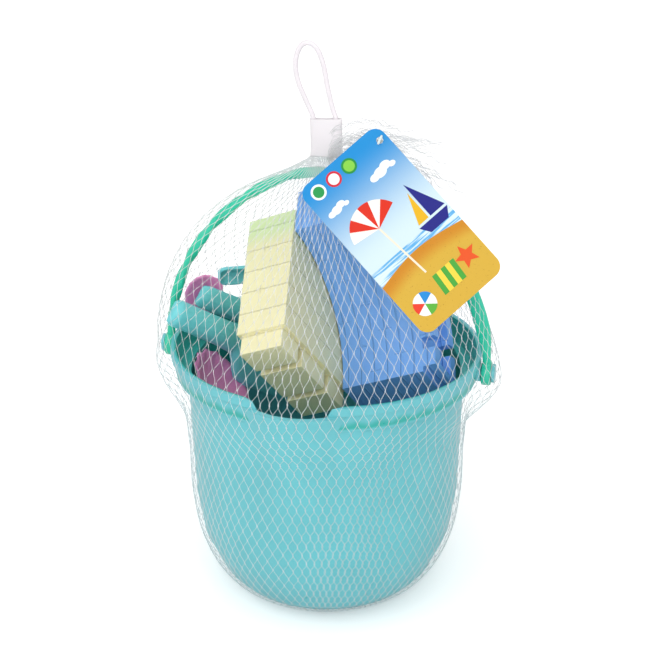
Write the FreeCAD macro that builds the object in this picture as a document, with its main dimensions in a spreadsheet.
"""Netted sand bucket set, in millimetres.

The bucket stands on the floor at Z = 0, its axis is Z, the handle's pivots lie along X and the
pour spout points towards -Y.  Every sub-part is one object whose Label is the name of its file.
"""
import FreeCAD, Part
import math
import os

import Sketcher

Vector = FreeCAD.Vector
DOC = FreeCAD.newDocument("netted_sand_bucket")

# Driving dimensions: name, value in millimetres or degrees.
DIMENSIONS = [
    # bucket
    ("bucket_height", 160.0),       # floor to rim
    ("rim_radius", 85.0),           # outside of the round wall at the rim
    ("wall_slope", 1.8),            # degrees that the wall leans out
    ("base_corner", 28.0),          # small arc of the round base corner
    ("side_corner", 95.0),          # large arc of the round base corner
    ("corner_turn", 58.0),          # degrees turned by the small arc
    ("wall", 2.2),
    ("ear_reach", 94.6),            # half width of the oval rim, over the handle's ears
    ("ear_root", 92.5),             # half width of the oval band at its lower edge
    ("ear_depth", 16.0),            # height of the oval band
    ("rim_front", 86.4),            # half depth of the oval rim
    ("bead", 0.6),                  # rolled edge, proud of the band
    ("bead_depth", 5.0),
    ("foot_radius", 41.0),
    ("foot_width", 3.0),
    ("foot_height", 1.6),
    ("spout_half_width", 37.0),
    ("spout_reach", 94.0),          # axis to the lip
    ("spout_drop", 5.0),            # lip below the rim
    ("spout_length", 56.0),         # lip to the spout's lower end
    # studs and handle
    ("pivot_below_rim", 9.5),
    ("stud_radius", 3.5),
    ("stud_head_radius", 5.6),
    ("stud_head", 1.8),
    ("running_gap", 0.05),          # stud in the handle's eye
    ("side_gap", 0.3),              # beside the eye, along the stud
    ("eye_radius", 7.6),
    ("bail_thick", 6.0),
    ("eye_thick", 5.4),
    ("bail_flank", 125.0),          # radius of each side of the arch
    ("bail_crown", 62.0),           # radius of its top
    ("neck_rise", 4.76),            # top of the handle to the closure's hinge
    # straight castle wall mould
    ("mould_wall", 1.8),
    ("castle_length", 80.0),
    ("castle_thick", 32.0),
    ("castle_tall", 96.0),
    ("merlon_tall", 13.0),
    ("merlon_setback", 2.2),
    ("merlon_gap", 5.0),
    ("merlon_middle", 27.0),
    # curved castle wall mould
    ("curve_inner", 71.0),
    ("curve_thick", 29.0),
    ("curve_tall", 62.0),
    ("crenel_tall", 8.0),
    ("crenel_gap", 7.0),
    # tower mould
    ("tower_radius", 21.0),
    ("tower_tall", 84.0),
    ("tower_flange", 3.0),
    # shell and dish moulds
    ("shell_radius", 27.4),
    ("shell_deep", 9.0),
    ("shell_rib", 2.0),
    ("dish_radius", 14.0),
    ("dish_deep", 6.0),
    # hand tools
    ("tool_wall", 2.0),
    ("grip_wide", 18.0),
    ("grip_deep", 11.0),
    ("spade_length", 134.0),
    ("spade_grip", 42.0),
    ("spade_blade", 52.0),
    ("rake_length", 80.0),
    ("rake_head", 36.0),
    ("scoop_length", 56.0),
    # net and closure
    ("net_thick", 0.6),
    ("net_base_radius", 52.5),
    ("weld_radius", 12.0),
    ("net_gap", 2.0),               # net clear of what it wraps
    ("net_slack", 6.0),             # bulge of the net over the handle's -X side
    ("net_cling", 50.0),            # pivots down to where the net lies on the wall again
    ("net_bar", 2.6),               # band between two openings of the net
    ("neck_wide", 18.0),
    ("neck_thick", 3.2),
    ("sleeve_wide", 19.0),
    ("sleeve_thick", 6.4),
    ("sleeve_tall", 23.0),
    ("sleeve_wall", 1.2),
    ("loop_cord", 2.4),
    ("loop_wide", 16.0),
    ("loop_tall", 42.0),
    ("card_wide", 60.0),
    ("card_tall", 110.0),
    ("card_thick", 0.8),
    ("card_corner", 7.0),
    ("card_hole_radius", 2.0),
    ("card_hole_inset", 8.4),       # hole to the card's top edge
    ("card_hole_side", 4.8),        # hole to the card's side edge
    ("pin_length", 9.4),
    ("pin_radius", 0.8),
]
ALIASES = sorted((name for name, _ in DIMENSIONS), key=len, reverse=True)


def make_sheet():
    """Put every driving dimension into the sheet, one aliased cell each."""
    sheet = DOC.addObject("Spreadsheet::Sheet", "Dimensions")
    for row, (name, value) in enumerate(DIMENSIONS, start=1):
        sheet.set("A%d" % row, name)
        sheet.set("B%d" % row, str(value))
        sheet.setAlias("B%d" % row, name)
    DOC.recompute()
    return sheet


SHEET = make_sheet()


def dim(name):
    """Value of one driving dimension, as a number."""
    return float(getattr(SHEET, name))


def bind(thing, prop, formula):
    """Tie a property to the sheet; @name in the formula is a driving dimension."""
    thing.setExpression(prop, formula.replace("@", "Dimensions."))


def add(kind, name, **formulas):
    """Document object whose properties are formulas on the sheet."""
    thing = DOC.addObject(kind, name)
    for prop, formula in formulas.items():
        bind(thing, prop, formula)
    return thing


def place(thing, position=(0, 0, 0), yaw=0.0, pitch=0.0, roll=0.0):
    """Set a Placement; the angles turn about Z, then the new Y, then the new X."""
    thing.Placement = FreeCAD.Placement(Vector(*position), FreeCAD.Rotation(yaw, pitch, roll))
    return thing


def lift(thing, axis, formula):
    """Drive one coordinate of the placement from the sheet."""
    bind(thing, "Placement.Base." + axis, formula)
    return thing


def settle(toy, x, y, rise, yaw=0.0, pitch=0.0, roll=0.0, at_ear=False):
    """Lay a toy in the bucket: rise is from the rim, x from the axis or from the -X ear."""
    place(toy, (x, y, 0), yaw, pitch, roll)
    lift(toy, "z", "@bucket_height + %g" % rise)
    if at_ear:
        lift(toy, "x", "%g - @ear_reach" % x)
    return toy


def cut(name, base, tool):
    result = DOC.addObject("Part::Cut", name)
    result.Base = base
    result.Tool = tool
    return result


def fuse(name, shapes):
    result = DOC.addObject("Part::MultiFuse", name)
    result.Shapes = shapes
    return result


# ------------------------------------------------------------------------------ PartDesign helpers
def new_body(label):
    body = DOC.addObject("PartDesign::Body", label)
    body.Label = label
    return body


def new_sketch(body, name, role="XY_Plane", height=None):
    """Sketch on one of the body's own planes, lifted along its normal to a driven height."""
    sketch = body.newObject("Sketcher::SketchObject", name)
    plane = [item for item in body.Origin.OriginFeatures if item.Role == role][0]
    sketch.AttachmentSupport = [(plane, "")]
    sketch.MapMode = "FlatFace"
    if height:
        bind(sketch, "AttachmentOffset.Base.z", height)
    return sketch


def drive(sketch, formula, *constraint):
    """Dimensional constraint whose value is a formula on the sheet."""
    index = sketch.addConstraint(Sketcher.Constraint(*constraint))
    bind(sketch, "Constraints[%d]" % index, formula)


def circle(sketch, radius, across=None, up=None):
    """Circle at driven coordinates of the sketch, on an axis where one is left out."""
    index = sketch.addGeometry(Part.Circle(Vector(1, 1, 0), Vector(0, 0, 1), 2.0), False)
    drive(sketch, radius, "Radius", index, 2.0)
    if across:
        drive(sketch, across, "DistanceX", -1, 1, index, 3, 1.0)
    else:
        sketch.addConstraint(Sketcher.Constraint("PointOnObject", index, 3, -2))
    if up:
        drive(sketch, up, "DistanceY", -1, 1, index, 3, 1.0)
    else:
        sketch.addConstraint(Sketcher.Constraint("PointOnObject", index, 3, -1))


def polygon(sketch, sides, radius, across=None, up=None):
    """Regular polygon inside a circle at driven coordinates of the sketch."""
    size = evaluate(radius)
    middle = Vector(evaluate(across or "0"), evaluate(up or "0"), 0)
    rim = sketch.addGeometry(Part.Circle(middle, Vector(0, 0, 1), size), True)
    corners = [middle + corner for corner in outline(size, size, 0, sides=sides)]
    first = sketch.GeometryCount
    sketch.addGeometry([Part.LineSegment(*ends) for ends in zip(corners, corners[1:] + corners[:1])],
                       False)
    limit = Sketcher.Constraint
    rules = [limit("Horizontal", rim, 3, first, 1)]
    for number in range(sides):
        rules.append(limit("Coincident", first + number, 2, first + (number + 1) % sides, 1))
        rules.append(limit("PointOnObject", first + number, 1, rim))
        if number:
            rules.append(limit("Equal", first, first + number))
    sketch.addConstraint(rules)
    drive(sketch, radius, "Radius", rim, size)
    for value, kind in ((across, "DistanceX"), (up, "DistanceY")):
        if value:
            drive(sketch, value, kind, -1, 1, rim, 3, evaluate(value))
        else:
            axis = -2 if kind == "DistanceX" else -1
            sketch.addConstraint(limit("PointOnObject", rim, 3, axis))


def arc(centre_x, centre_y, radius, start, end):
    """Arc of a circle between two angles in degrees."""
    whole = Part.Circle(Vector(centre_x, centre_y, 0), Vector(0, 0, 1), radius)
    return Part.ArcOfCircle(whole, math.radians(start), math.radians(end))


def rectangle(sketch, size_x, size_y, centre_x=None, centre_y=None):
    """Rectangle centred on the sketch's origin, or at a driven offset from it."""
    corners = [Vector(-1, -1, 0), Vector(1, -1, 0), Vector(1, 1, 0), Vector(-1, 1, 0)]
    first = sketch.GeometryCount
    for index in range(4):
        sketch.addGeometry(Part.LineSegment(corners[index], corners[(index + 1) % 4]), False)
    for index in range(4):
        after = first + (index + 1) % 4
        sketch.addConstraint(Sketcher.Constraint("Coincident", first + index, 2, after, 1))
        kind = "Horizontal" if index % 2 == 0 else "Vertical"
        sketch.addConstraint(Sketcher.Constraint(kind, first + index))
    drive(sketch, size_x, "DistanceX", first, 1, first, 2, 2.0)
    drive(sketch, size_y, "DistanceY", first + 1, 1, first + 1, 2, 2.0)
    drive(sketch, "(%s) - (%s) / 2" % (centre_x or "0", size_x), "DistanceX", -1, 1, first, 1, -1.0)
    drive(sketch, "(%s) - (%s) / 2" % (centre_y or "0", size_y), "DistanceY", -1, 1, first, 1, -1.0)


def feature(body, kind, name, profile, **formulas):
    item = body.newObject("PartDesign::" + kind, name)
    item.Profile = profile
    for prop, formula in formulas.items():
        bind(item, prop, formula)
    return item


def pad(body, name, profile, length, reverse=False, both=False):
    item = feature(body, "Pad", name, profile, Length=length)
    item.Reversed = reverse
    item.Midplane = both
    return item


def pocket(body, name, profile, length, reverse=False, both=False):
    item = feature(body, "Pocket", name, profile, Length=length)
    item.Reversed = reverse
    item.Midplane = both
    return item


# ---------------------------------------------------------------------------------------- formulas
PIVOT = "(@bucket_height - @pivot_below_rim)"
BASE = "(@net_thick + @foot_height)"
EAR_FACE = "(@ear_root + (@ear_reach - @ear_root) * (1 - @pivot_below_rim / @ear_depth))"
EYE = "(@ear_reach + @bead + 0.4 + @side_gap + @bail_thick / 2)"
SHOULDER_END = "(%s - @bail_thick / 2 - @side_gap)" % EYE
STUD_END = "(%s + @bail_thick / 2 + @side_gap)" % EYE


def evaluate(formula):
    """Number that a formula of the sheet gives."""
    cell = "D1"
    text = formula
    for name in ALIASES:
        text = text.replace("@" + name, name)
    SHEET.set(cell, "=" + text)
    SHEET.recompute()
    return float(SHEET.get(cell))


# ----------------------------------------------------------------------------------- faceted forms
def outline(half_x, half_y, level, front=0.0, sides=40):
    """Corners of a many-sided ellipse, its centre `front` towards -Y."""
    corners = []
    for number in range(sides):
        turn = 2 * math.pi * number / sides
        corners.append(Vector(half_x * math.cos(turn), half_y * math.sin(turn) - front, level))
    return corners


def flat_faces(corners):
    """One flat face through the corners, or two triangles where four of them don't lie flat."""
    if len(corners) == 4:
        normal = (corners[1] - corners[0]).cross(corners[2] - corners[0]).normalize()
        if abs(normal.dot(corners[3] - corners[0])) > 0.000001:
            return flat_faces(corners[:3]) + flat_faces([corners[0], corners[2], corners[3]])
    return [Part.Face(Part.makePolygon(corners + corners[:1]))]


def closed(faces):
    """Solid bounded by the faces."""
    solid = Part.makeSolid(Part.makeShell(faces))
    if solid.Volume < 0:
        solid.reverse()
    return solid


def stacked(rings):
    """Solid through stacked outlines that have equally many corners."""
    faces = flat_faces(rings[0]) + flat_faces(rings[-1])
    for lower, upper in zip(rings, rings[1:]):
        for number in range(len(lower)):
            after = (number + 1) % len(lower)
            faces += flat_faces([lower[number], lower[after], upper[after], upper[number]])
    return closed(faces)


def form(name, shape):
    """Object whose shape is worked out here from the sheet."""
    item = DOC.addObject("Part::Feature", name)
    item.Label = name
    item.Shape = shape
    return item


# ------------------------------------------------------------------------------------------ bucket
def round_wall(inset, top):
    """Flat base, small arc, large arc and leaning wall up to `top`, as stacked outlines."""
    slope = math.radians(dim("wall_slope"))
    turn = math.radians(dim("corner_turn"))
    small = dim("base_corner") - inset
    large = dim("side_corner") - inset
    rim = dim("rim_radius") - inset / math.cos(slope)
    floor = evaluate(BASE) + inset
    joint = floor + small * (1 - math.cos(turn))
    upper = joint + large * (math.cos(turn) - math.sin(slope))
    large_x = rim - (dim("bucket_height") - upper) * math.tan(slope) - large * math.cos(slope)
    small_x = large_x + (large - small) * math.sin(turn)
    sizes = []
    for part in (0, 1 / 3, 2 / 3, 1):
        angle = turn * part
        sizes.append((small_x + small * math.sin(angle), floor + small * (1 - math.cos(angle))))
    for part in (0.5, 1):
        angle = turn + (math.pi / 2 - slope - turn) * part
        sizes.append((large_x + large * math.sin(angle),
                      joint + large * (math.cos(turn) - math.cos(angle))))
    sizes.append((rim + (top - dim("bucket_height")) * math.tan(slope), top))
    return stacked([outline(radius, radius, level) for radius, level in sizes])


def ear_band(inset, top, bottom):
    """Oval band that carries the ears, a little narrower at its lower edge."""
    lower = outline(dim("ear_root") - inset, dim("rim_front") - 2 - inset, bottom)
    upper = outline(dim("ear_reach") - inset, dim("rim_front") - inset, top)
    return stacked([lower, upper])


def spout(inset, top):
    """Pour spout: wide at the lip, small where it runs out on the wall."""
    half = dim("spout_half_width")
    foot = dim("bucket_height") - dim("spout_drop") - dim("spout_length")
    lower = outline(11 - inset, 9 - inset, foot, dim("rim_radius") - 12, sides=20)
    upper = outline(half - inset, half * 0.8 - inset, top, dim("spout_reach") - half * 0.8, sides=20)
    return stacked([lower, upper])


def peg(name, side, radius, start, length):
    """Round peg along X on one side of the bucket, at the handle's pivot."""
    item = add("Part::Cylinder", name, Radius=radius, Height=length)
    item.Placement = FreeCAD.Placement(Vector(), FreeCAD.Rotation(Vector(0, 1, 0), 90 * side))
    lift(item, "x", "%d * (%s)" % (side, start))
    lift(item, "z", PIVOT)
    return item


def bucket():
    tall = dim("bucket_height")
    wall = dim("wall")
    ear_foot = tall - dim("ear_depth")
    bead = [outline(dim("ear_reach") + dim("bead"), dim("rim_front") + dim("bead"), level)
            for level in (tall - dim("bead_depth"), tall)]
    foot = [outline(dim("foot_radius"), dim("foot_radius"), level)
            for level in (dim("net_thick"), evaluate(BASE) + wall / 2)]
    recess_radius = dim("foot_radius") - dim("foot_width")
    recess = [outline(recess_radius, recess_radius, level) for level in (0, evaluate(BASE))]
    outside = [
        form("bucket_form", round_wall(0, tall)),
        form("bucket_band", ear_band(0, tall, ear_foot)),
        form("bucket_bead", stacked(bead)),
        form("bucket_spout", spout(0, tall - dim("spout_drop"))),
        form("bucket_foot", stacked(foot)),
    ]
    root = "(%s - @wall / 2)" % EAR_FACE
    for word, side in (("right", 1), ("left", -1)):
        outside += [
            peg("bucket_stud_" + word, side, "@stud_radius", root, "%s - %s + 0.5" % (STUD_END, root)),
            peg("bucket_shoulder_" + word, side, "@stud_head_radius", root,
                "%s - %s" % (SHOULDER_END, root)),
            peg("bucket_stud_head_" + word, side, "@stud_head_radius", STUD_END, "@stud_head"),
        ]
    inside = [
        form("bucket_hollow", round_wall(wall, tall + 2)),
        form("bucket_ear_hollow", ear_band(wall, tall + 2, ear_foot + wall)),
        form("bucket_spout_hollow", spout(wall, tall + 1)),
        form("bucket_foot_recess", stacked(recess)),
    ]
    return cut("bucket", fuse("bucket_outside", outside), fuse("bucket_inside", inside))


# -------------------------------------------------------------------------------------------- bail
def bail():
    """Moulded handle: three tangent arcs with an eye at each end, snapped over the studs."""
    body = new_body("bail")
    path = new_sketch(body, "bail_path", "XZ_Plane")
    half = evaluate(EYE)
    flank = dim("bail_flank")
    crown = dim("bail_crown")
    offset = flank - half
    rise = math.sqrt((flank - crown) ** 2 - offset ** 2)
    turn = math.degrees(math.atan2(rise, offset))
    level = evaluate(PIVOT)
    path.addGeometry(arc(-offset, level, flank, 0, turn), False)
    path.addGeometry(arc(0, level + rise, crown, turn, 180 - turn), False)
    path.addGeometry(arc(offset, level, flank, 180 - turn, 180), False)
    limit = Sketcher.Constraint
    path.addConstraint(limit("Tangent", 0, 2, 1, 1))
    path.addConstraint(limit("Tangent", 1, 2, 2, 1))
    path.addConstraint(limit("PointOnObject", 1, 3, -2))
    path.addConstraint(limit("Horizontal", 0, 3, 0, 1))
    path.addConstraint(limit("Horizontal", 2, 3, 2, 2))
    drive(path, "@bail_flank", "Radius", 0, flank)
    drive(path, "@bail_flank", "Radius", 2, flank)
    drive(path, "@bail_crown", "Radius", 1, crown)
    drive(path, PIVOT, "DistanceY", -1, 1, 0, 1, level)
    drive(path, EYE, "DistanceX", -1, 1, 0, 1, half)
    drive(path, EYE, "DistanceX", 2, 2, -1, 1, half)
    section = new_sketch(body, "bail_section", height=PIVOT)
    polygon(section, 6, "@bail_thick / 2", across=EYE)
    rod = body.newObject("PartDesign::AdditivePipe", "bail_rod")
    rod.Profile = section
    rod.Spine = path
    DOC.recompute()
    for side, reverse in (("right", False), ("left", True)):
        sign = "-" if reverse else ""
        ring = new_sketch(body, "bail_eye_outline_" + side, "YZ_Plane",
                          "%s(%s - @eye_thick / 2)" % (sign, EYE))
        circle(ring, "@eye_radius", up=PIVOT)
        pad(body, "bail_eye_" + side, ring, "@eye_thick", reverse)
    hole = new_sketch(body, "bail_eye_hole_outline", "YZ_Plane")
    circle(hole, "@stud_radius + @running_gap", up=PIVOT)
    pocket(body, "bail_eye_holes", hole, "2 * (%s + @eye_thick)" % EYE, both=True)
    return body


# ------------------------------------------------------------------------------------- sand moulds
def wall_mould():
    """Straight castle wall, mouth at its own Z = 0 and merlons at the closed end."""
    body = new_body("wall_mould")
    shoulder = "@castle_tall - @merlon_tall"
    base = new_sketch(body, "wall_mould_outline")
    rectangle(base, "@castle_length", "@castle_thick")
    pad(body, "wall_mould_block", base, shoulder)
    top = new_sketch(body, "wall_mould_parapet_outline", height=shoulder)
    rectangle(top, "@castle_length - 2 * @merlon_setback", "@castle_thick - 2 * @merlon_setback")
    pad(body, "wall_mould_parapet", top, "@merlon_tall")
    slot_at = "(@merlon_middle + @merlon_gap) / 2"
    for side, sign in (("near", "-"), ("far", "")):
        slot = new_sketch(body, "wall_mould_slot_" + side, height="@castle_tall")
        rectangle(slot, "@merlon_gap", "@castle_thick", sign + slot_at)
        pocket(body, "wall_mould_slot_%s_cut" % side, slot, "@merlon_tall")
    mouth = new_sketch(body, "wall_mould_mouth")
    rectangle(mouth, "@castle_length - 2 * @mould_wall", "@castle_thick - 2 * @mould_wall")
    pocket(body, "wall_mould_hollow", mouth, shoulder + " - @mould_wall", reverse=True)
    merlon = "(@castle_length / 2 - @merlon_setback - @merlon_middle / 2 - @merlon_gap)"
    outer_at = "(@castle_length / 2 - @merlon_setback - %s / 2)" % merlon
    inner_deep = "@castle_thick - 2 * @merlon_setback - 2 * @mould_wall"
    for name, width, centre in (("near", merlon, "-" + outer_at), ("middle", "@merlon_middle", "0"),
                                ("far", merlon, outer_at)):
        hollow = new_sketch(body, "wall_mould_merlon_" + name)
        rectangle(hollow, width + " - 2 * @mould_wall", inner_deep, centre)
        pocket(body, "wall_mould_merlon_%s_hollow" % name, hollow, "@castle_tall - @mould_wall",
               reverse=True)
    return settle(body, -24.1, 45.1, 40.4, 56.5, 50.0, 145.6)


def sector(sketch, inner, outer, inset):
    """Quarter ring about the sketch's origin, its straight ends inset from the axes."""
    small = evaluate(inner)
    large = evaluate(outer)
    gap = evaluate(inset)
    low = math.degrees(math.asin(gap / small))
    high = math.degrees(math.asin(gap / large))
    sketch.addGeometry(arc(0, 0, small, low, 90 - low), False)
    sketch.addGeometry(arc(0, 0, large, high, 90 - high), False)
    ends = []
    for start in (low, high):
        radius = small if start == low else large
        ends.append((radius * math.cos(math.radians(start)), gap))
    sketch.addGeometry(Part.LineSegment(Vector(*ends[0], 0), Vector(*ends[1], 0)), False)
    sketch.addGeometry(Part.LineSegment(Vector(gap, ends[0][0], 0), Vector(gap, ends[1][0], 0)), False)
    limit = Sketcher.Constraint
    for first, second in ((0, 1), (1, 1)):
        sketch.addConstraint(limit("Coincident", first, second, 2, first + 1))
    for first in (0, 1):
        sketch.addConstraint(limit("Coincident", first, 2, 3, first + 1))
        sketch.addConstraint(limit("Coincident", first, 3, -1, 1))
    sketch.addConstraint(limit("Horizontal", 2))
    sketch.addConstraint(limit("Vertical", 3))
    drive(sketch, inner, "Radius", 0, small)
    drive(sketch, outer, "Radius", 1, large)
    drive(sketch, inset, "DistanceY", -1, 1, 2, 1, gap)
    drive(sketch, inset, "DistanceX", -1, 1, 3, 1, gap)


def curved_wall_mould():
    """Curved castle wall, a quarter ring: mouth at its own Z = 0, crenels at the closed end."""
    body = new_body("curved_wall_mould")
    outer = "@curve_inner + @curve_thick"
    ring = new_sketch(body, "curved_outline")
    sector(ring, "@curve_inner", outer, "0.01")
    pad(body, "curved_block", ring, "@curve_tall")
    walk = new_sketch(body, "curved_walk_outline", height="@curve_tall")
    sector(walk, "@curve_inner + @curve_thick / 4", outer + " - @curve_thick / 4", "@curve_thick / 4")
    pocket(body, "curved_walk", walk, "@crenel_tall")
    slot = new_sketch(body, "curved_crenel_outline", height="@curve_tall")
    rectangle(slot, "@curve_inner * 4", "@crenel_gap")
    first = pocket(body, "curved_crenel_slot", slot, "@crenel_tall")
    DOC.recompute()
    turns = body.newObject("PartDesign::PolarPattern", "curved_crenel_slots")
    turns.Originals = [first]
    turns.Axis = (slot, ["N_Axis"])
    turns.Angle = 75.0
    turns.Occurrences = 6
    body.Tip = turns
    mouth = new_sketch(body, "curved_mouth")
    sector(mouth, "@curve_inner + @mould_wall", outer + " - @mould_wall", "@mould_wall")
    pocket(body, "curved_hollow", mouth, "@curve_tall - @crenel_tall - @mould_wall", reverse=True)
    return settle(body, -12.0, -50.9, 31.0, 56.5, 50.0, 55.6)


def tower_mould():
    """Round tower: mouth with a flange at its own Z = 0, crenels round the closed end."""
    radius = dim("tower_radius")
    tall = dim("tower_tall")
    wall = dim("mould_wall")
    notch = tall - dim("crenel_tall")
    crown = radius * 0.86

    def drum(low_radius, high_radius, low, high):
        return stacked([outline(low_radius, low_radius, low, sides=24),
                        outline(high_radius, high_radius, high, sides=24)])

    shape = drum(radius, crown, 0, tall)
    shape = shape.fuse(drum(radius + dim("tower_flange"), radius + dim("tower_flange"), 0, wall))
    shape = shape.cut(drum(crown - 2 * wall, crown - 2 * wall, notch, tall + 1))
    for turn in (0, 60, 120):
        slot = Part.makeBox(4 * radius, dim("crenel_gap"), dim("crenel_tall") + 1,
                            Vector(-2 * radius, -dim("crenel_gap") / 2, notch))
        slot.rotate(Vector(), Vector(0, 0, 1), turn)
        shape = shape.cut(slot)
    shape = shape.cut(drum(radius - wall, crown - wall, -0.01, notch - wall))
    return settle(form("tower_mould", shape), 35.7, 39.4, -99.5, roll=-5.9)


def bowl(radius, deep, sides, rib=0.0):
    """Thin round dish with its mouth at its own Z = 0 and ribs that run down to its middle."""
    ball = (radius ** 2 + deep ** 2) / (2 * deep)
    level = ball - deep
    shapes = []
    for gap in (0.0, dim("mould_wall")):
        size = ball - gap
        mouth = math.acos(level / size)
        rings = []
        for part in (1, 0.8, 0.5, 0.2):
            corners = outline(size * math.sin(mouth * part), size * math.sin(mouth * part),
                              level - size * math.cos(mouth * part), sides=sides)
            for corner in corners[1::2]:
                corner.x *= 1 - rib * part / radius
                corner.y *= 1 - rib * part / radius
            rings.append(corners)
        if gap:
            rings.insert(0, [corner + Vector(0, 0, 1) for corner in rings[0]])
        shapes.append(stacked(rings))
    return shapes[0].cut(shapes[1])


def shell_mould():
    """Scallop shell, its ribs fanned about the middle."""
    shape = bowl(dim("shell_radius"), dim("shell_deep"), 28, dim("shell_rib"))
    return settle(form("shell_mould", shape), 30.9, -7.0, -32.0, 1.5, 52.5, at_ear=True)


def dish_mould():
    shape = bowl(dim("dish_radius"), dim("dish_deep"), 24)
    return settle(form("dish_mould", shape), 10.45, 24.2, 14.0, -50.3, 86.9, at_ear=True)


# ------------------------------------------------------------------------------------- hand tools
def half_round(along, half_wide, crown, inset):
    """Crowned section across a tool; the hollow's section runs down through the underside."""
    corners = []
    for number in range(7):
        turn = math.pi * number / 6
        corners.append(Vector(along, (half_wide - inset) * math.cos(turn), (crown - inset) * math.sin(turn)))
    if inset:
        below = Vector(0, 0, -1)
        corners = [corners[0] + below] + corners + [corners[-1] + below]
    return corners


def tool_form(stations):
    """Crowned moulding with an open underside, through (distance, half width, crown) stations."""
    wall = dim("tool_wall")
    outside = [half_round(*station, 0) for station in stations]
    (start, *first), *middle, (end, *last) = stations
    hollow = [(start + wall, *first), *middle, (end - wall, *last)]
    inside = [half_round(*station, wall) for station in hollow]
    return stacked(outside).cut(stacked(inside))


def spade():
    length, grip, blade = dim("spade_length"), dim("spade_grip"), dim("spade_blade") / 2
    half, crown = dim("grip_wide") / 2, dim("grip_deep")
    shape = tool_form([
        (0, half * 0.76, crown * 0.6),
        (4, half, crown * 0.8),
        (grip, half, crown * 0.8),
        (grip + 12, half + 1, crown * 0.7),
        (grip + 22, blade - 2, crown * 0.65),
        (grip + 34, blade, crown * 0.6),
        (length - 18, blade - 1, crown * 0.55),
        (length, blade * 2 / 3, crown * 0.4),
    ])
    return settle(form("spade", shape), 2.5, -20.2, 22.1, 46.0, 34.3, 84.9, at_ear=True)


def rake():
    length, head, wall = dim("rake_length"), dim("rake_head"), dim("tool_wall")
    half, crown = dim("grip_wide") / 2, dim("grip_deep")
    shape = tool_form([
        (0, half * 0.68, crown * 0.55),
        (4, half * 0.9, crown * 0.65),
        (length * 0.5, half * 0.9, crown * 0.65),
        (length * 0.62, half * 0.8, crown * 0.65),
        (length * 0.7, half * 0.9, crown * 0.55),
    ])
    bar_at = length * 0.7 - wall
    shape = shape.fuse(Part.makeBox(wall + 4, head, 2 * wall, Vector(bar_at, -head / 2, 0)))
    tines = 5
    for number in range(tines):
        side = -head / 2 + (head - 4) * number / (tines - 1)
        corner = Vector(bar_at + wall + 3, side, wall / 4)
        shape = shape.fuse(Part.makeBox(length * 0.3 - 3, 4, wall * 1.5, corner))
    return settle(form("rake", shape), 8.3, 17.5, 17.5, 41.5, 31.4, 93.6, at_ear=True)


def scoop():
    length = dim("scoop_length")
    half, crown = dim("grip_wide") / 2, dim("grip_deep")
    shape = tool_form([
        (0, half * 0.68, crown * 0.55),
        (4, half * 0.8, crown * 0.64),
        (length * 0.45, half * 0.8, crown * 0.64),
        (length * 0.6, half * 1.6, crown),
        (length * 0.9, half * 1.76, crown),
        (length, half * 1.4, crown * 0.64),
    ])
    return settle(form("scoop", shape), 14.9, 41.8, 18.6, 25.0, 0.6, -73.1, at_ear=True)


# --------------------------------------------------------------------------- net, closure and card
SLEEVE_LEFT = 1.4
BAIL_RISE = "sqrt((@bail_flank - @bail_crown) ^ 2 - (@bail_flank - %s) ^ 2)" % EYE
HINGE = "(%s + %s + @bail_crown + @bail_thick / 2 + @neck_rise)" % (PIVOT, BAIL_RISE)
SLEEVE_FOOT = HINGE + " + 2.2"


def net_base():
    """Flat round bottom of the net, where its strands are drawn together under the bucket."""
    body = new_body("net_base")
    sheet = new_sketch(body, "net_base_outline")
    polygon(sheet, 40, "@net_base_radius")
    pad(body, "net_base_sheet", sheet, "@net_thick")
    return body


def base_weld():
    """Melted knot that ends the strands, in the hollow inside the bucket's foot ring."""
    body = new_body("base_weld")
    button = new_sketch(body, "base_weld_outline", height="@net_thick")
    polygon(button, 24, "@weld_radius")
    pad(body, "base_weld_button", button, "@foot_height - 0.4")
    return body


def net_neck():
    """Gathered net between the handle and the closure; its top is rounded about the tilt axis."""
    half_x = dim("neck_wide") / 2
    top = evaluate(HINGE)
    shape = stacked([outline(half_x + 4, dim("neck_thick") + 1.4, top - 4.6, sides=24),
                     outline(half_x, dim("neck_thick") / 2, top, sides=24)])
    return place(form("net_neck", shape), (SLEEVE_LEFT, 0, 0))


def clip_sleeve():
    """Flat open sleeve pressed over the gathered net."""
    body = new_body("clip_sleeve")
    section = new_sketch(body, "sleeve_outline", height=SLEEVE_FOOT)
    rectangle(section, "@sleeve_wide", "@sleeve_thick")
    rectangle(section, "@sleeve_wide - 2 * @sleeve_wall", "@sleeve_thick - 2 * @sleeve_wall")
    pad(body, "sleeve_tube", section, "@sleeve_tall")
    place(body, (SLEEVE_LEFT, 0, 0))
    return body


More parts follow.
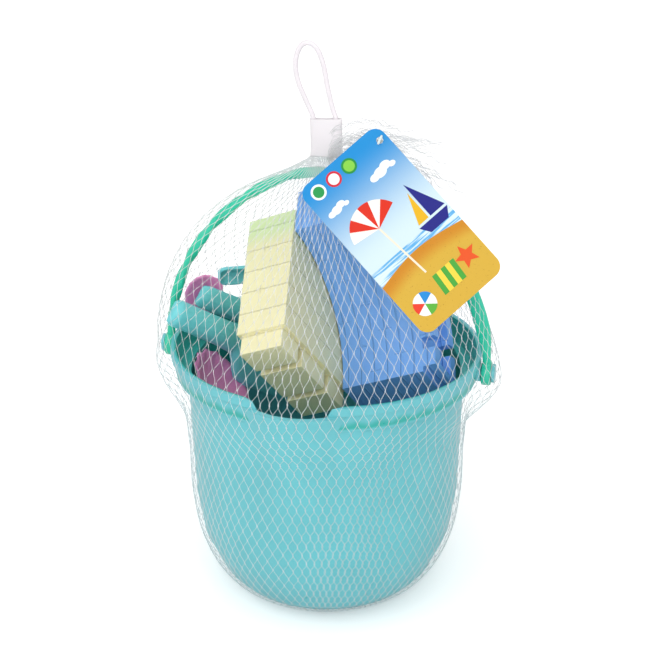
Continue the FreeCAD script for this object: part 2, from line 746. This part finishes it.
def hang_loop():
    """Cord loop: both legs run down into the sleeve, the bow leans to one side."""
    body = new_body("hang_loop")
    path = new_sketch(body, "loop_path", "XZ_Plane")
    mouth = evaluate(SLEEVE_FOOT + " + @sleeve_tall + 1.5")
    foot = evaluate(SLEEVE_FOOT + " + 12")
    half = evaluate("@sleeve_wide / 2 - @sleeve_wall - @loop_cord / 2 - 0.4")
    bow = evaluate("@loop_wide / 2 - @loop_cord / 2")
    centre = Vector(-12.0, mouth + dim("loop_tall") - bow, 0)
    contacts = []
    for side in (-1, 1):
        corner = Vector(side * half, mouth, 0)
        away = corner - centre
        spread = math.acos(bow / away.Length)
        heading = math.atan2(away.y, away.x) + side * spread
        contacts.append(centre + Vector(math.cos(heading), math.sin(heading), 0) * bow)
    left, right = contacts
    start = math.degrees(math.atan2(right.y - centre.y, right.x - centre.x))
    end = math.degrees(math.atan2(left.y - centre.y, left.x - centre.x)) % 360
    points = [Vector(-half, foot, 0), Vector(-half, mouth, 0), left]
    path.addGeometry(Part.LineSegment(points[0], points[1]), False)
    path.addGeometry(Part.LineSegment(points[1], points[2]), False)
    path.addGeometry(arc(centre.x, centre.y, bow, start, end), False)
    path.addGeometry(Part.LineSegment(right, Vector(half, mouth, 0)), False)
    path.addGeometry(Part.LineSegment(Vector(half, mouth, 0), Vector(half, foot, 0)), False)
    limit = Sketcher.Constraint
    path.addConstraint(limit("Coincident", 0, 2, 1, 1))
    path.addConstraint(limit("Tangent", 1, 2, 2, 2))
    path.addConstraint(limit("Tangent", 2, 1, 3, 1))
    path.addConstraint(limit("Coincident", 3, 2, 4, 1))
    path.addConstraint(limit("Vertical", 0))
    path.addConstraint(limit("Vertical", 4))
    path.addConstraint(limit("Horizontal", 0, 1, 4, 2))
    path.addConstraint(limit("Horizontal", 0, 2, 4, 1))
    drive(path, "@sleeve_wide / 2 - @sleeve_wall - @loop_cord / 2 - 0.4", "DistanceX", 0, 1, -1, 1, half)
    drive(path, "@sleeve_wide / 2 - @sleeve_wall - @loop_cord / 2 - 0.4", "DistanceX", -1, 1, 4, 2, half)
    drive(path, SLEEVE_FOOT + " + 12", "DistanceY", -1, 1, 0, 1, foot)
    drive(path, SLEEVE_FOOT + " + @sleeve_tall + 1.5", "DistanceY", -1, 1, 0, 2, mouth)
    drive(path, "@loop_wide / 2 - @loop_cord / 2", "Radius", 2, bow)
    drive(path, "12", "DistanceX", 2, 3, -1, 1, 12.0)
    drive(path, "@loop_tall - (@loop_wide / 2 - @loop_cord / 2)", "DistanceY", 0, 2, 2, 3,
          centre.y - mouth)
    section = new_sketch(body, "loop_section", height=SLEEVE_FOOT + " + 12")
    polygon(section, 6, "@loop_cord / 2", across="0 - (@sleeve_wide / 2 - @sleeve_wall - @loop_cord / 2 - 0.4)")
    cord = body.newObject("PartDesign::AdditivePipe", "loop_cord_form")
    cord.Profile = section
    cord.Spine = path
    cord.Transition = "Round corner"
    place(body, (SLEEVE_LEFT, 0, 0))
    return body


def net_tail():
    """Loose end of the gathered net, fanned out beside the sleeve."""
    body = new_body("net_tail")
    edge = new_sketch(body, "net_tail_outline", "XZ_Plane")
    corners = [(0.0, 2.5), (0.0, 13.0), (14.0, 5.0), (30.0, 4.5), (58.0, 4.0), (66.0, -14.0), (40.0, -8.0),
               (20.0, -3.0)]
    points = [Vector(x, z, 0) for x, z in corners]
    for first, second in zip(points, points[1:] + points[:1]):
        edge.addGeometry(Part.LineSegment(first, second), False)
    limit = Sketcher.Constraint
    for number, (x, z) in enumerate(corners):
        edge.addConstraint(limit("Coincident", (number - 1) % len(corners), 2, number, 1))
        edge.addConstraint(limit("DistanceX", -1, 1, number, 1, x))
        edge.addConstraint(limit("DistanceY", -1, 1, number, 1, z))
    pad(body, "net_tail_sheet", edge, "@neck_thick * 0.7", both=True)
    place(body, (11.3, 0.5, 279.8), yaw=12.0)
    lift(body, "z", SLEEVE_FOOT)
    return body


CARD_POSE = {"yaw": 36.5, "pitch": -34.8, "roll": 52.9}
CARD_HOLE = Vector(33.0, -2.1, 292.1)


def at_card(body):
    """Put a piece drawn about the card's hole where the card hangs."""
    place(body, tuple(CARD_HOLE), **CARD_POSE)
    lift(body, "z", HINGE + " + 14.5")
    return body


def hang_tag():
    """Printed card; its own origin is the middle of the hole, its face looks along +Z."""
    body = new_body("hang_tag")
    face = new_sketch(body, "card_outline")
    rectangle(face, "@card_wide", "@card_tall", "@card_hole_side - @card_wide / 2",
              "@card_hole_inset - @card_tall / 2")
    sheet = pad(body, "card_sheet", face, "@card_thick", both=True)
    DOC.recompute()
    upright = []
    for number, edge in enumerate(sheet.Shape.Edges, 1):
        first, second = edge.Vertexes[0].Point, edge.Vertexes[-1].Point
        if abs(first.x - second.x) < 0.001 and abs(first.y - second.y) < 0.001:
            upright.append("Edge%d" % number)
    corners = body.newObject("PartDesign::Fillet", "card_corners")
    corners.Base = (sheet, upright)
    bind(corners, "Radius", "@card_corner")
    hole = new_sketch(body, "card_hole_outline", height="@card_thick / 2")
    circle(hole, "@card_hole_radius")
    pocket(body, "card_hole", hole, "@card_thick * 2")
    return at_card(body)


def tag_pin():
    """Barbed pin: a thin stem with a button at each end, through the card's hole."""
    body = new_body("tag_pin")
    stem = new_sketch(body, "pin_stem_outline", height="1.4 - @pin_length")
    polygon(stem, 8, "@pin_radius")
    pad(body, "pin_stem", stem, "@pin_length")
    for name, level in (("front", "1.0"), ("back", "1.4 - @pin_length")):
        button = new_sketch(body, "pin_button_" + name, height=level)
        polygon(button, 16, "@card_hole_radius + 0.4")
        pad(body, "pin_%s_button" % name, button, "0.8")
    return at_card(body)


# ------------------------------------------------------------------------------------- net outline
def sphere_directions(count):
    """Directions spread evenly over a sphere."""
    golden = math.pi * (3 - math.sqrt(5))
    spread = []
    for number in range(count):
        up = 1 - 2 * (number + 0.5) / count
        across = math.sqrt(1 - up * up)
        spread.append(Vector(across * math.cos(golden * number), across * math.sin(golden * number), up))
    return spread


def outermost(points, count):
    """The points that a taut net over them would touch."""
    kept = set()
    for way in sphere_directions(count):
        kept.add(max(range(len(points)), key=lambda number: points[number].dot(way)))
    return [points[number] for number in kept]


def convex_outline(points):
    """Corner points of the convex outline round a flat set of points, anticlockwise."""
    ordered = sorted(set(points))
    outline = []
    for run in (ordered, ordered[::-1]):
        chain = []
        for point in run:
            while len(chain) > 1:
                (ax, ay), (bx, by) = chain[-2], chain[-1]
                if (bx - ax) * (point[1] - ay) - (by - ay) * (point[0] - ax) > 0:
                    break
                chain.pop()
            chain.append(point)
        outline += chain[:-1]
    return outline


def crossing(points, level):
    """Outline, at one level, of the smallest convex form round the points."""
    above = [point for point in points if point.z >= level]
    below = [point for point in points if point.z < level]
    flat = []
    for high in above:
        for low in below:
            part = (level - low.z) / (high.z - low.z)
            spot = low + (high - low) * part
            flat.append((round(spot.x, 4), round(spot.y, 4)))
    return convex_outline(flat)


def reach(edge, angle):
    """Distance from the axis to the outline along one direction."""
    way = (math.cos(angle), math.sin(angle))
    farthest = 0.0
    for (ax, ay), (bx, by) in zip(edge, edge[1:] + edge[:1]):
        across_a = way[0] * ay - way[1] * ax
        across_b = way[0] * by - way[1] * bx
        if across_a * across_b <= 0 and across_a != across_b:
            part = across_a / (across_a - across_b)
            distance = way[0] * (ax + (bx - ax) * part) + way[1] * (ay + (by - ay) * part)
            farthest = max(farthest, distance)
    return farthest


def spokes(edge, level, gap, slack, count):
    """Corners round the outline at a level, a gap outside it, and slack besides on the -X side."""
    step = 2 * math.pi / count
    corners = []
    for number in range(count):
        near = [reach(edge, (number + part) * step) for part in (-0.5, -0.25, 0, 0.25, 0.5)]
        across, deep = math.cos(number * step), math.sin(number * step)
        radius = max(near) + gap + slack * max(0.0, -across)
        corners.append(Vector(radius * across, radius * deep, level))
    return corners


def thicker(ring, thick):
    """The same corners, moved straight out from the axis."""
    return [corner + Vector(corner.x, corner.y, 0).normalize() * thick for corner in ring]


def between(quad, across, up):
    """Point at a share of the way across and up a four-cornered patch."""
    low = quad[0] + (quad[1] - quad[0]) * across
    high = quad[3] + (quad[2] - quad[3]) * across
    return low + (high - low) * up


def opening(quad, bar):
    """Corners of the opening in a patch, half a bar inside each of its edges."""
    wide = (quad[1] - quad[0]).Length + (quad[2] - quad[3]).Length
    tall = (quad[3] - quad[0]).Length + (quad[2] - quad[1]).Length
    across, up = bar / wide, bar / tall
    return [between(quad, *spot) for spot in ((across, up), (1 - across, up), (1 - across, 1 - up),
                                              (across, 1 - up))]


def patch(outer, inner, open_patch):
    """Faces of one patch of the skin, with or without an opening through it."""
    if not open_patch:
        return flat_faces(outer) + flat_faces(inner)
    bar = dim("net_bar")
    faces = []
    holes = [opening(quad, bar) for quad in (outer, inner)]
    for number in range(4):
        after = (number + 1) % 4
        for quad, hole in zip((outer, inner), holes):
            faces += flat_faces([quad[number], quad[after], hole[after], hole[number]])
        faces += flat_faces([holes[0][number], holes[0][after], holes[1][after], holes[1][number]])
    return faces


def girth(shape, level):
    """Convex outline round a shape's section at one level."""
    corners = []
    for wire in shape.slice(Vector(0, 0, 1), level):
        corners += [(round(vertex.X, 4), round(vertex.Y, 4)) for vertex in wire.Vertexes]
    return convex_outline(corners)


def let_out(rings, levels, points, gap):
    """Move corners of the skin outwards until the skin clears every point."""
    count = len(rings[0])
    for point in points:
        rows = [row for row in range(len(levels) - 1) if levels[row] <= point.z < levels[row + 1]]
        if not rows:
            continue
        up = (point.z - levels[rows[0]]) / (levels[rows[0] + 1] - levels[rows[0]])
        angle = math.atan2(point.y, point.x) % (2 * math.pi)
        number = int(angle / (2 * math.pi) * count) % count
        across = angle / (2 * math.pi) * count - number
        around = [(rows[0], number), (rows[0], (number + 1) % count), (rows[0] + 1, (number + 1) % count),
                  (rows[0] + 1, number)]
        skin = between([rings[row][spoke] for row, spoke in around], across, up)
        short = math.hypot(point.x, point.y) + gap - math.hypot(skin.x, skin.y)
        if short > 0:
            for row, spoke in around:
                corner = rings[row][spoke]
                scale = 1 + short / math.hypot(corner.x, corner.y)
                rings[row][spoke] = Vector(corner.x * scale, corner.y * scale, corner.z)


def net_bag(bucket_shape, contents):
    """Net drawn tight over the bucket, its handle and its toys, open at the neck."""
    points = []
    for piece in contents:
        points += piece.Shape.tessellate(0.4)[0]
    neck = evaluate(HINGE) - 3.2
    for corner in outline(dim("neck_wide") / 2 + 4, dim("neck_thick") + 1.4, neck + 0.5, sides=16):
        points.append(corner + Vector(SLEEVE_LEFT, 0, 0))
    touched = outermost(points, 900)
    tall = dim("bucket_height")
    pivot = evaluate(PIVOT)
    cling = pivot - dim("net_cling")
    base = evaluate(BASE)
    levels = [dim("net_thick") + 0.3]
    levels += [base + dim("base_corner") * part for part in (0.056, 0.22, 0.47)]
    levels += [cling * 0.38, cling * 0.62, cling]
    levels += [cling + (pivot - cling) * 0.4, pivot - 5.6, pivot + 5.6]
    steps = 6
    levels += [tall + (neck - tall) * number / steps for number in range(1, steps + 1)]
    count = 20
    gap = dim("net_gap")
    inner = []
    for level in levels:
        edge = crossing(touched, level) if level > cling else girth(bucket_shape, max(level, base + 0.05))
        rise = max(0.0, (level - tall) / (neck - tall))
        inner.append(spokes(edge, level, gap, dim("net_slack") * math.sin(math.pi * rise), count))
    let_out(inner, levels, [point for point in touched if pivot < point.z < neck - 6], gap * 0.7)
    outer = [thicker(ring, dim("net_thick")) for ring in inner]
    faces = []
    for number in range(count):
        after = (number + 1) % count
        for end in (0, -1):
            faces += flat_faces([outer[end][number], outer[end][after], inner[end][after],
                                 inner[end][number]])
        for row in range(len(levels) - 1):
            quads = [[skin[row][number], skin[row][after], skin[row + 1][after], skin[row + 1][number]]
                     for skin in (outer, inner)]
            wide = (quads[0][1] - quads[0][0]).Length
            high = levels[row + 1] - levels[row]
            roomy = min(wide, high) > 4 * dim("net_bar") and row < len(levels) - 2
            faces += patch(*quads, roomy)
    return form("net_bag", closed(faces))


# ----------------------------------------------------------------------------------------- writing
def main():
    toys = [wall_mould(), curved_wall_mould(), tower_mould(), shell_mould(), dish_mould(), spade(),
            rake(), scoop()]
    held = [bucket(), bail()] + toys
    around = [net_base(), base_weld(), net_neck(), clip_sleeve(), hang_loop(), net_tail(), hang_tag(),
              tag_pin()]
    DOC.recompute()
    pieces = held + around + [net_bag(held[0].Shape, held)]
    for thing in DOC.Objects:
        if "Invalid" in thing.State or "Error" in thing.State:
            raise RuntimeError("%s did not compute" % thing.Name)
    os.makedirs("parts", exist_ok=True)
    for piece in pieces:
        shape = piece.Shape
        if shape.isNull() or not shape.isValid() or len(shape.Solids) != 1:
            raise RuntimeError("%s is not one sound solid" % piece.Label)
        shape.exportStep("parts/%s.step" % piece.Label)


main()
